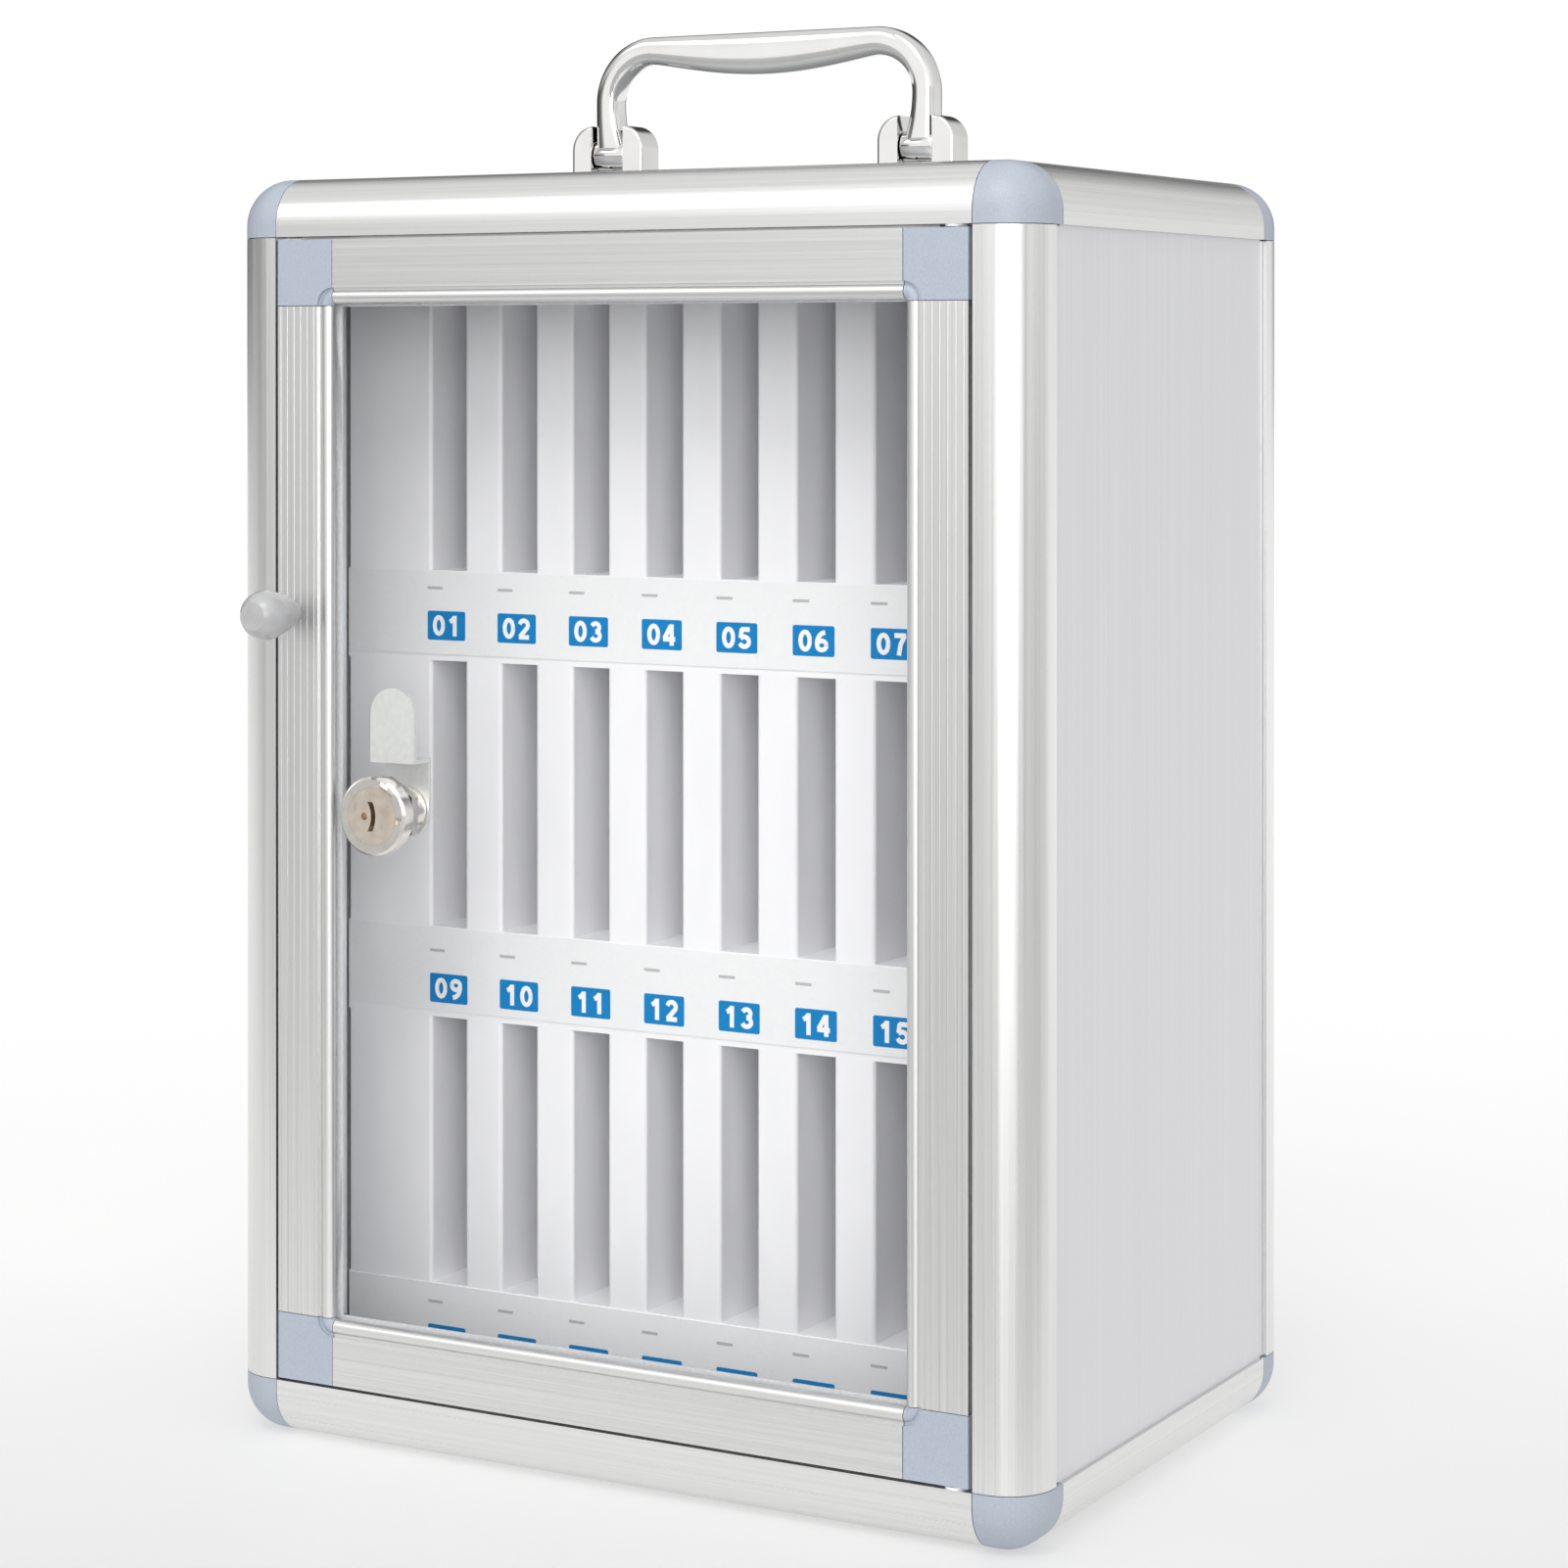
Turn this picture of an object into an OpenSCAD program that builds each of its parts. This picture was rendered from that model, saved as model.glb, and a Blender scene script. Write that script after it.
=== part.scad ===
// Phone locker box: an aluminium case with a glazed, locking door and a rack of 24 upright slots.
// The origin is the middle of the case's underside. X runs right, Y runs back and Z runs up.

/* [Case] */
// Width over the frame
case_w = 340; // [325:1:420]
// Depth over the frame
case_d = 236; // [200:1:300]
// Height over the frame, without the handle
case_h = 480; // [475:1:560]

/* [Frame profiles] */
// Width of the face of every post and rail
face_w = 22.5; // [21:0.5:26]
// Depth of the front profile's leg that runs along the side
leg_d = 20; // [18:0.5:24]
// Outer radius of the rounded edges
edge_r = 18; // [14:0.5:20]
// Wall of the frame profiles
wall = 1.5; // [1.2:0.1:1.8]
// Distance from the outer face to the start of the panel slots
web = 14.5; // [13.5:0.5:16]
// How far the stop lip stands into the door opening
lip_reach = 6; // [5:0.5:8]

/* [Corner caps] */
// Length of a corner cap along the depth
cap_d = 25; // [22:0.5:32]
// Length of a cap's tenon inside a profile
tenon_l = 15; // [8:0.5:25]
// Clearance round a tenon
tenon_fit = 0.3; // [0.1:0.05:0.5]
// Open seam between the end of a profile and what it meets
seam = 0.3; // [0.1:0.05:0.6]
// Clearance round the screws and the lock's barrel where they pass through a hole
hole_fit = 0.25; // [0.1:0.05:0.4]

/* [Panels] */
// Thickness of the panels
panel_t = 3; // [2:0.1:3.5]
// Clearance on each face of a panel in its slot
panel_fit = 0.1; // [0.05:0.05:0.3]
// Clearance between a panel's edge and the bottom of its slot
panel_play = 0.5; // [0.2:0.1:1.5]

/* [Door] */
// Depth of the door from its front face to its back
door_t = 10; // [9.5:0.1:11]
// Gap round the door on the free edge, the top and the bottom
door_gap = 1.1; // [0.8:0.1:2]
// Gap at the hinge edge
hinge_gap = 1.6; // [1.6:0.1:2.5]
// Width of the door's stiles and rails
member_w = 24.6; // [23:0.1:28]
// Width of their fluted flat
flat_w = 18.3; // [17:0.1:19]
// Wall of the door profile
door_wall = 1.3; // [1:0.1:1.6]
// Depth of the groove beside the inner bead
bead_groove = 1; // [0.5:0.1:1.5]
// Width of the rebate that closes on the stop lip
rebate_w = 6.5; // [6:0.1:7.5]
// Number of flutes in the flat
flute_n = 6; // [3:1:8]
// Width of a flute
flute_w = 0.4; // [0.3:0.1:1]
// Depth of a flute
flute_d = 0.2; // [0.1:0.1:0.6]
// Size of the square corner blocks
block_w = 25; // [25:0.1:29]
// Length of a corner block's tenon
block_tenon = 12; // [8:0.5:20]

/* [Glazing] */
// Depth of the pane's front below the door's face
pane_back = 3; // [2.5:0.1:3.5]
// Thickness of the clear pane
pane_t = 3; // [2:0.1:3.2]
// How far the pane's edge goes into the profile
pane_bite = 4.6; // [3:0.1:4.8]
// Thickness of the gasket behind the pane
gasket_t = 0.9; // [0.6:0.1:1.2]
// How far the gasket shows inside the profile's edge
gasket_show = 0.8; // [0.3:0.1:1.5]

/* [Hinge] */
// Distance of the pivot from the door's hinge edge
pivot_in = 6.5; // [6:0.1:8]
// Distance of the pivot behind the door's face
pivot_back = 4.2; // [4:0.1:4.4]
// Radius of the pivot pins
pivot_r = 1.5; // [1:0.05:1.5]
// Depth of a pivot pin inside its corner block
pivot_grip = 14; // [8:0.5:20]
// Outer radius of the pivot bushes
bush_r = 2.5; // [2.3:0.05:2.6]
// Length of a bush above its flange
bush_l = 4.5; // [3:0.1:8]
// Radius of the bush's flange
bush_flange_r = 4; // [3:0.1:4.5]
// Thickness of the bush's flange
bush_flange_t = 0.8; // [0.5:0.05:0.8]
// Radial clearance of pins that turn
running_fit = 0.05; // [0.02:0.01:0.09]

/* [Knob] */
// Distance of the knob from the door's free edge
knob_in = 7.3; // [6:0.1:12]
// Height of the knob above the underside
knob_z = 315; // [280:1:400]
// Radius of the ball
knob_r = 9.4; // [7:0.1:12]
// Distance of the ball's centre from the door
knob_reach = 17.8; // [14:0.1:20]
// Radius of the knob where it stands on the door
neck_r = 4; // [3:0.1:6]
// Radius of the curve that runs from there out to the ball
belly_r = 60; // [30:1:90]
// Radius of the knob screw's shank
knob_screw_r = 1.6; // [1.2:0.1:2]
// Depth of the knob screw in the knob
knob_screw_l = 9; // [6:0.5:14]
// Radius of the knob screw's head
knob_head_r = 3; // [2.4:0.1:3.6]

/* [Lock] */
// Distance of the lock's axis from the door's free edge
lock_in = 45.4; // [44:0.1:48]
// Height of the lock's axis above the underside
lock_z = 240; // [180:1:270]
// Radius of the lock's flange
flange_r = 14.8; // [13:0.1:16]
// How far the flange stands in front of the door's face
flange_proud = 3; // [1:0.1:6]
// Radius of the threaded barrel
barrel_r = 9; // [8.5:0.1:10]
// Length of the barrel behind the pane's front
barrel_l = 16.8; // [12.5:0.1:18]
// Radius of the plug that turns in the barrel
plug_r = 6.5; // [6:0.1:7]
// Radius of the plug's face
plug_face_r = 10.8; // [9:0.1:12]
// Thickness of the plug's face
plug_face_t = 1.2; // [0.8:0.1:1.8]
// Width of the keyway
keyway_w = 2; // [1.4:0.1:2.6]
// Height of the keyway
keyway_h = 11; // [7:0.5:11.5]
// How far the keyway bows to the right in the middle
keyway_bow = 1.5; // [0.5:0.1:2]
// Depth of the keyway in the plug
keyway_depth = 8; // [4:0.5:10]
// Length of the long spanner slot in the flange
spanner_w = 7; // [3:0.1:8]
// Length of the short spanner slot
small_spanner_w = 2.6; // [2:0.1:4]
// Depth of the spanner slots
spanner_depth = 3.5; // [1:0.1:4]
// Width across the flats of the lock nut
nut_af = 24; // [22:0.5:27]
// Thickness of the lock nut
nut_t = 4; // [3:0.5:7]
// Side of the square on which the cam sits
square_w = 8; // [7:0.1:8.5]
// Width of the cam
cam_w = 20; // [16:0.5:22]
// Reach of the cam's tip from the lock's axis
cam_reach = 47; // [45:0.5:50]
// Distance of the cam's crank from the lock's axis
crank_in = 18.8; // [17:0.1:22]
// Thickness of the cam's plate
cam_t = 1.5; // [1.2:0.1:2]
// Clearance between the cam's tab and the back of the door
cam_clear = 0.4; // [0.3:0.1:0.8]
// Radius of the cam screw's shank
cam_screw_r = 2; // [1.5:0.1:2.5]
// Length of the cam screw under its head
cam_screw_l = 8; // [5:0.5:10]

/* [Handle] */
// Distance between the outer sides of the bail's legs
bail_w = 150.4; // [130:0.2:170]
// Height of the bail's top above its pins
bail_h = 46.2; // [38:0.2:56]
// Depth of the bail from front to back
bail_d = 11.6; // [9:0.2:14]
// Width of a leg of the bail at its barrel
leg_w = 13.6; // [11:0.1:15]
// Width of a leg at the top, where the corner starts
leg_top_w = 9.7; // [8:0.1:12]
// Thickness of the bail beside its corners
bail_thin = 11; // [8:0.1:12]
// Extra thickness in the middle of the grip
grip_swell = 5.4; // [2:0.2:8]
// Outer radius of the bail's corners
bail_r = 25.5; // [20:0.5:30]
// Radius of the barrels at the ends of the legs
lug_r = 6; // [5.9:0.1:7]
// Height of the pins above the top panel
pin_h = 13.6; // [13:0.1:16]
// Radius of the bail's pins
bail_pin_r = 2; // [1.5:0.1:2.5]
// Width of a bracket
bracket_w = 32.5; // [31:0.5:46]
// Depth of a bracket from front to back
bracket_d = 13.5; // [10:0.5:16]
// Height of a bracket's ears above the top panel
bracket_h = 25.2; // [22:0.1:30]
// Radius of a bracket's shoulders
shoulder_r = 9.5; // [8:0.5:12]
// Rounding of a bracket's front and back edges
bracket_ease = 1.2; // [0.4:0.1:2]
// Thickness of the bridge between a bracket's ears
bridge_t = 2.5; // [2:0.1:5]
// Gap on each side of a barrel between the ears
lug_gap = 0.4; // [0.3:0.05:0.8]
// Radius of the bracket screws' shanks
screw_r = 2; // [1.5:0.1:2.2]
// Length of the bracket screws
screw_l = 12; // [8:0.5:14]
// Metal left over each end of a bail pin
pin_cover = 4; // [2:0.5:6]

/* [Rack] */
// Number of tiers
tier_n = 3; // [3:1:3]
// Number of slots in a tier
slot_n = 8; // [8:1:8]
// Distance from the front of the case to the front of the rack
rack_setback = 68.2; // [50:0.1:75]
// Distance between the rack's ends and the sides of the case
rack_gap = 7.5; // [6.6:0.1:20]
// Height of the rack's underside above the bottom rails
rack_lift = 0.3; // [0.2:0.1:2]
// Free height between the rack and the top panel
head_room = 40.6; // [30:0.2:60]
// Distance from one slot to the next
slot_pitch = 32.8; // [28:0.1:33]
// Width of a slot
slot_w = 15.8; // [12:0.1:20]
// Height of the front band below a slot
band_h = 33.5; // [25:0.5:40]
// Thickness of a tier's roof
roof_t = 2; // [1.5:0.1:2.5]
// Wall of the rack mouldings
shell_t = 2; // [1.5:0.1:2.5]
// Radius of the ribs' front edges
rib_r = 1.5; // [1:0.1:5]
// Depth of the short returns at the rack's ends
return_d = 12; // [6:0.5:30]
// Clearance behind the rack
rack_clear = 0.3; // [0.2:0.1:2]
// Thickness of the label strips
label_t = 0.5; // [0.2:0.1:1]
// Margin of a label strip inside its band
label_margin = 0.5; // [0.3:0.1:2]

/* [Hidden] */

// How finely round shapes are drawn
round_fn = 64;
// How far a cut runs past the face it opens
over = 1;

// Colours of the materials
aluminium = [0.86, 0.87, 0.86];
sheet = [0.80, 0.82, 0.84];
grey_plastic = [0.66, 0.69, 0.74];
white_plastic = [0.94, 0.94, 0.95];
card = [0.97, 0.97, 0.98];
chrome = [0.78, 0.78, 0.80];
nickel = [0.80, 0.77, 0.73];
steel = [0.62, 0.64, 0.66];
clear = [0.75, 0.85, 0.90, 0.35];
pale_rubber = [0.72, 0.73, 0.74];
smoke = [0.70, 0.71, 0.73];

// The case's front, the panel slots and where the panels lie
front_y = -case_d / 2;
panel_slot = panel_t + 2 * panel_fit;
slot_lip = 2 * wall + panel_slot;
panel_in = wall + panel_fit;
floor_z = panel_in + panel_t;
roof_z = case_h - panel_in;

// The inside of the rounded edge, and where square tenons fit in it
inner_r = edge_r - wall;
front_tenon_v = 2 * wall;
front_tenon_u = edge_r - sqrt(pow(inner_r, 2) - pow(edge_r - front_tenon_v, 2)) + tenon_fit;
rear_tenon = edge_r - inner_r / sqrt(2) + 1.5 * tenon_fit;

// The door's outline and the grooves in its profile
door_l = -case_w / 2 + face_w + door_gap;
door_r = case_w / 2 - face_w - hinge_gap;
door_b = face_w + door_gap;
door_h = case_h - 2 * door_b;
door_w = door_r - door_l;
groove_s = member_w - pane_bite - panel_play;
groove_front = pane_back - panel_fit;
groove_back = pane_back + pane_t + gasket_t + panel_fit;
bead_gap = 0.6;
bead_r = min((member_w - flat_w - bead_gap) / 2, groove_front);
lip_fit = 0.3;
rebate_t = wall + lip_fit;
chamber_gap = 0.9;
chamber_back = groove_front + pane_t + chamber_gap;

// The hinge's axis and where the stop lips end beside it
pivot_x = door_r - pivot_in;
pivot_y = front_y + pivot_back;
sweep_r = norm([pivot_in, door_t - rebate_t - pivot_back]);
lip_end = pivot_x + case_w / 2 - sweep_r - over;

// The lock's axis and depths, measured back from the door's face
lock_x = door_l + lock_in;
plug_end = pane_back + barrel_l;
cam_v = plug_end + cam_clear;
tab_v = door_t + cam_clear;
knob_x = door_l + knob_in;
tip_r = cam_w / 2;

// The knob's belly: an arc that leaves the ball at a tangent and ends on the foot
belly_in = belly_r - knob_r;
belly_sum = pow(belly_r, 2) - pow(neck_r, 2) - pow(knob_reach, 2) - pow(belly_in, 2);
belly_angle = acos(belly_sum / (2 * belly_in * norm([neck_r, knob_reach])));
belly_turn = atan2(knob_reach, neck_r) - belly_angle;
belly_top = knob_reach - knob_r * sin(belly_turn);
access_fit = 0.6;
access_r = knob_head_r + access_fit;

// The lock's flange: its bevelled rim, its two spanner slots as [turn, length], and their radii
bevel = 0.9;
spanner_slots = [[57, spanner_w], [-5, small_spanner_w]];
spanner_wall = 0.4;
spanner_from = plug_face_r + spanner_wall;
spanner_to = flange_r - bevel - spanner_wall;

// The keyway's curve, and the round hole beside it
keyway_r = pow(keyway_h / 2, 2) / (2 * keyway_bow) + keyway_bow / 2;
dot_r = 1.4;
dot_x = 3.3;
dot_depth = 4;
square_fit = 0.1;
cam_head_lap = 1.2;
cam_head_r = square_w / 2 + cam_head_lap;
nut_turn = 30;

// The handle's pins and legs
pin_z = roof_z + pin_h;
leg_foot = 1.4;
boss = 0.15;
corner_x = bail_w / 2 - bail_r;
corner_z = bail_h - bail_r;
leg_steps = 5;
arc_steps = 9;
grip_steps = 14;
grip_fade = 1.3;
ring_points = 20;
ring_softness = 0.65;
leg_x = bail_w / 2 - leg_w / 2;
ear_gap = leg_w + 2 * (boss + lug_gap);
bracket_out = leg_x + bracket_w / 2;
ear_w = (bracket_w - ear_gap) / 2;
screw_x = (ear_gap + ear_w) / 2;
screw_depth = screw_l - panel_t;
screw_head_r = 2 * screw_r;
head_taper = 0.8;
bracket_screw_xs = [
    -leg_x - screw_x, -leg_x + screw_x, leg_x - screw_x, leg_x + screw_x
];

// The rack's places
rack_y = front_y + rack_setback;
rack_d = case_d / 2 - slot_lip - rack_clear - rack_y;
rack_w = case_w - 2 * rack_gap;
rack_z = web + rack_lift;
tier_h = (roof_z - panel_t - head_room - rack_z) / tier_n;
slot_h = tier_h - band_h - roof_t;
rib_w = slot_pitch - slot_w;
end_x = (slot_n * slot_pitch - rib_w) / 2;
block_x = end_x + shell_t;

// Where the posts and rails are cut, and the sizes of the panels
post_from = face_w + seam;
post_to = case_h - face_w - seam;
rail_to = case_w - face_w - seam;
span_x = case_w - 2 * (web + panel_play);
span_y = case_d - 2 * (web + panel_play);
span_z = case_h - 2 * (web + panel_play);
notch_x = face_w - web;
notch_y = cap_d - web;

// A square corner region whose outer edge is rounded, x and y running inwards
module rounded_region(r, size) {
    intersection() {
        square([size, size]);
        union() {
            translate([r, r]) circle(r = r, $fn = round_fn);
            translate([r, 0]) square([size, size]);
            translate([0, r]) square([size, size]);
        }
    }
}

// Section of the front posts and rails: x runs in from the outer face, y runs back from the front
module front_profile() {
    difference() {
        intersection() {
            union() {
                square([face_w, door_t]);
                square([slot_lip, leg_d]);
            }
            rounded_region(edge_r, face_w + leg_d);
        }
        translate([wall, wall]) intersection() {
            square([face_w - 2 * wall, door_t - 2 * wall]);
            rounded_region(inner_r, face_w);
        }
        translate([wall, web]) square([panel_slot, leg_d]);
    }
}

// Section of the other posts and rails, with two panel slots at right angles
module panel_profile() {
    difference() {
        intersection() {
            union() {
                square([web, web]);
                square([slot_lip, face_w]);
                square([face_w, slot_lip]);
            }
            rounded_region(edge_r, face_w);
        }
        translate([wall, wall]) intersection() {
            square([web - 2 * wall, web - 2 * wall]);
            rounded_region(inner_r, face_w);
        }
        translate([wall, web]) square([panel_slot, face_w]);
        translate([web, wall]) square([face_w, panel_slot]);
    }
}

// Puts a child at a corner of the case: 1 is right, back or top and -1 is left, front or bottom
module at_corner(sx, sy, sz) {
    translate([sx * case_w / 2, sy * case_d / 2, sz > 0 ? case_h : 0])
        mirror([sx > 0 ? 1 : 0, 0, 0])
            mirror([0, sy > 0 ? 1 : 0, 0])
                mirror([0, 0, sz > 0 ? 1 : 0])
                    children();
}

// Runs a section upwards, along X or along Y, between two distances from the corner
module along_z(from, to) {
    translate([0, 0, from]) linear_extrude(height = to - from) children();
}

module along_x(from, to) {
    translate([from, 0, 0]) rotate([90, 0, 90])
        linear_extrude(height = to - from) mirror([1, -1, 0]) children();
}

module along_y(from, to) {
    translate([0, to, 0]) rotate([90, 0, 0]) linear_extrude(height = to - from) children();
}

// Frame posts, cut between the caps
module post_front(sx) {
    color(aluminium) at_corner(sx, -1, -1) {
        along_z(post_from, post_to) front_profile();
        if (sx < 0) {
            translate([face_w - wall, door_t - wall, post_from])
                cube([wall + lip_reach, wall, post_to - post_from]);
        }
    }
}

module post_rear(sx) {
    color(aluminium) at_corner(sx, 1, -1) along_z(post_from, post_to) panel_profile();
}

// Frame rails: the front ones carry a stop lip that ends short of the hinge
module pivot_hole(r) {
    translate([pivot_x + case_w / 2, pivot_back, face_w - bush_l - over])
        cylinder(r = r, h = bush_l + 2 * over, $fn = round_fn);
}

module rail_front(sz) {
    lip_from = face_w + lip_reach + seam;
    color(aluminium) at_corner(-1, -1, sz) difference() {
        union() {
            along_x(post_from, rail_to) front_profile();
            translate([lip_from, door_t - wall, face_w - wall])
                cube([lip_end - lip_from, wall, wall + lip_reach]);
        }
        pivot_hole(bush_r);
    }
}

module rail_rear(sz) {
    color(aluminium) at_corner(-1, 1, sz) along_x(post_from, rail_to) panel_profile();
}

module rail_side(sx, sz) {
    color(aluminium) at_corner(sx, -1, sz)
        along_y(cap_d + seam, case_d - cap_d - seam) panel_profile();
}

// Corner caps: a rounded block with a tenon for each of the three profiles it joins
module cap_block() {
    translate([edge_r, edge_r, 0]) rotate([0, 0, 180]) rotate_extrude(angle = 90, $fn = round_fn) {
        intersection() {
            translate([0, edge_r]) circle(r = edge_r, $fn = round_fn);
            square([edge_r, edge_r]);
        }
        translate([0, edge_r]) square([edge_r, face_w - edge_r]);
    }
    along_x(edge_r, face_w) intersection() {
        rounded_region(edge_r, face_w);
        square([face_w, edge_r]);
    }
    along_y(edge_r, cap_d) intersection() {
        rounded_region(edge_r, face_w);
        square([edge_r, face_w]);
    }
    translate([edge_r, edge_r, 0]) cube([face_w - edge_r, cap_d - edge_r, face_w]);
}

module cap(front) {
    u0 = front ? front_tenon_u : rear_tenon;
    u1 = front ? face_w - wall - tenon_fit : web - wall - tenon_fit;
    v0 = front ? front_tenon_v : rear_tenon;
    v1 = front ? door_t - wall - tenon_fit : web - wall - tenon_fit;
    w0 = rear_tenon;
    w1 = web - wall - tenon_fit;
    root = face_w - over;
    cap_block();
    translate([root, v0, u0]) cube([tenon_l + over, v1 - v0, u1 - u0]);
    translate([u0, v0, root]) cube([u1 - u0, v1 - v0, tenon_l + over]);
    translate([w0, cap_d - over, w0]) cube([w1 - w0, tenon_l + over, w1 - w0]);
}

module cap_front(sx, sz) {
    color(grey_plastic) at_corner(sx, -1, sz) difference() {
        cap(true);
        if (sx > 0) {
            translate([case_w, 0, 0]) mirror([1, 0, 0]) pivot_hole(bush_r + tenon_fit);
        }
    }
}

module cap_rear(sx, sz) {
    color(grey_plastic) at_corner(sx, 1, sz) cap(false);
}

// Panels: sheets in the slots, with their corners cut away for the caps
module notched_sheet(a, b, na, nb) {
    square([a - 2 * na, b], center = true);
    square([a, b - 2 * nb], center = true);
}

module panel_side(sx) {
    color(sheet) at_corner(sx, -1, -1)
        translate([panel_in, case_d / 2, case_h / 2]) rotate([90, 0, 90])
            linear_extrude(height = panel_t) notched_sheet(span_y, span_z, notch_y, notch_x);
}

module panel_back() {
    color(sheet) translate([0, case_d / 2 - panel_in, case_h / 2]) rotate([90, 0, 0])
        linear_extrude(height = panel_t) notched_sheet(span_x, span_z, notch_x, notch_x);
}

module panel_top() {
    color(sheet) difference() {
        translate([0, 0, roof_z - panel_t])
            linear_extrude(height = panel_t) notched_sheet(span_x, span_y, notch_x, notch_y);
        for (x = bracket_screw_xs) {
            translate([x, 0, roof_z - panel_t - over])
                cylinder(r = screw_r + hole_fit, h = panel_t + 2 * over, $fn = round_fn);
        }
    }
}

// The base is a thicker board, rebated so that its underside lies level with the rails
module panel_bottom() {
    board_x = case_w - 2 * (face_w + panel_play);
    board_front = front_y + leg_d + panel_play;
    board_back = case_d / 2 - face_w - panel_play;
    color(sheet) {
        translate([0, 0, panel_in])
            linear_extrude(height = panel_t) notched_sheet(span_x, span_y, notch_x, notch_y);
        translate([-board_x / 2, board_front, 0])
            cube([board_x, board_back - board_front, panel_in + panel_t / 2]);
    }
}

// Rack: a bar with rounded front edges, x from 0 to w and y running back
module bar_section(w, d) {
    translate([0, rib_r]) square([w, d - rib_r]);
    translate([rib_r, 0]) square([w - 2 * rib_r, 2 * rib_r]);
    translate([rib_r, rib_r]) circle(r = rib_r, $fn = round_fn);
    translate([w - rib_r, rib_r]) circle(r = rib_r, $fn = round_fn);
}

// A hollow rib between two slots, open at the back
module rib_section() {
    difference() {
        translate([-rib_w / 2, 0]) bar_section(rib_w, rack_d);
        translate([-rib_w / 2 + shell_t, shell_t]) square([rib_w - 2 * shell_t, rack_d]);
    }
}

// The end plate with the outer wall of the last pocket and a short return
module end_section() {
    difference() {
        translate([end_x, 0]) bar_section(rack_w / 2 - end_x, rack_d);
        translate([block_x, shell_t]) square([rack_w / 2 - shell_t - block_x, rack_d]);
        translate([block_x, return_d]) square([rack_w, rack_d]);
    }
}

module comb_section() {
    for (i = [1:slot_n - 1]) {
        translate([(i - slot_n / 2) * slot_pitch, 0]) rib_section();
    }
    end_section();
    mirror([1, 0, 0]) end_section();
    for (i = [0:slot_n - 1]) {
        translate([(i + 0.5 - slot_n / 2) * slot_pitch - slot_w / 2 - shell_t / 2, rack_d - shell_t])
            square([slot_w + shell_t, shell_t]);
    }
}

module deck_section() {
    translate([-block_x, 0]) square([2 * block_x, rack_d]);
    translate([-rack_w / 2, 0]) square([rack_w, return_d]);
}

module skirt_section() {
    translate([-rack_w / 2, 0]) square([rack_w, shell_t]);
    for (side = [-1, 1]) {
        translate([side * (rack_w / 2 - shell_t / 2) - shell_t / 2, 0])
            square([shell_t, return_d]);
        translate([side * (block_x - shell_t / 2) - shell_t / 2, 0])
            square([shell_t, rack_d]);
    }
    for (i = [2:2:slot_n - 2]) {
        translate([(i - slot_n / 2) * slot_pitch - shell_t / 2, 0]) square([shell_t, rack_d]);
    }
}

module rack_tier(k) {
    color(white_plastic) translate([0, rack_y, rack_z + (tier_n - k) * tier_h]) {
        linear_extrude(height = band_h) skirt_section();
        translate([0, 0, band_h - shell_t]) linear_extrude(height = shell_t) deck_section();
        translate([0, 0, band_h]) linear_extrude(height = slot_h) comb_section();
        translate([0, 0, band_h + slot_h]) linear_extrude(height = roof_t) deck_section();
    }
}

module label_strip(k) {
    color(card) translate([
        -rack_w / 2 + label_margin, rack_y - label_t,
        rack_z + (tier_n - k) * tier_h + label_margin
    ]) cube([rack_w - 2 * label_margin, label_t, band_h - 2 * label_margin]);
}

// The plinth is a shallow tray, upside down, that lifts the rack clear of the bottom rails
module rack_plinth() {
    plinth_w = case_w - 2 * (face_w + panel_play);
    plinth_front = rack_y + shell_t / 2;
    plinth_d = case_d / 2 - face_w - panel_play - plinth_front;
    color(white_plastic) translate([-plinth_w / 2, plinth_front, floor_z]) difference() {
        cube([plinth_w, plinth_d, rack_z - floor_z]);
        translate([shell_t, shell_t, -over])
            cube([plinth_w - 2 * shell_t, plinth_d - 2 * shell_t, rack_z - floor_z - shell_t + over]);
    }
}

// Handle: the bail's outer line as [x, z] points, with the direction outwards and the thickness.
// Each leg's foot starts inside its barrel, and the barrel stands proud of the leg on both sides.
function leg_thick(t) = leg_top_w + (leg_w - leg_top_w) * pow(1 - t, 2);
function bail_thick(t) = leg_top_w + (bail_thin - leg_top_w) * (1 - cos(180 * t)) / 2;
function grip_thick(x) = bail_thin + grip_swell * pow(max(0, 1 - pow(x / corner_x, 2)), grip_fade);
function right_half() = concat(
    [for (i = [0:leg_steps]) let (t = i / leg_steps)
        [bail_w / 2, leg_foot + (corner_z - leg_foot) * t, 0, leg_thick(t)]],
    [for (i = [1:arc_steps]) let (a = 90 * i / arc_steps)
        [corner_x + bail_r * cos(a), corner_z + bail_r * sin(a), a, bail_thick(i / arc_steps)]],
    [for (i = [1:grip_steps / 2 - 1]) let (x = corner_x * (1 - 2 * i / grip_steps))
        [x, bail_h, 90, grip_thick(x)]]
);
function flip(p) = [-p[0], p[1], 180 - p[2], p[3]];
function bail_line() = let (half = right_half(), n = len(half)) concat(
    half, [[0, bail_h, 90, grip_thick(0)]], [for (i = [n - 1:-1:0]) flip(half[i])]
);

// One ring of the bail: a rounded square with flattened sides
function soft(v) = sign(v) * pow(abs(v), ring_softness);
function bail_ring(p) = [for (j = [0:ring_points - 1])
    let (
        a = 360 * j / ring_points,
        out = (soft(cos(a)) - 1) * p[3] / 2,
        back = soft(sin(a)) * bail_d / 2
    )
    [p[0] + out * cos(p[2]), back, p[1] + out * sin(p[2])]
];

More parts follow.
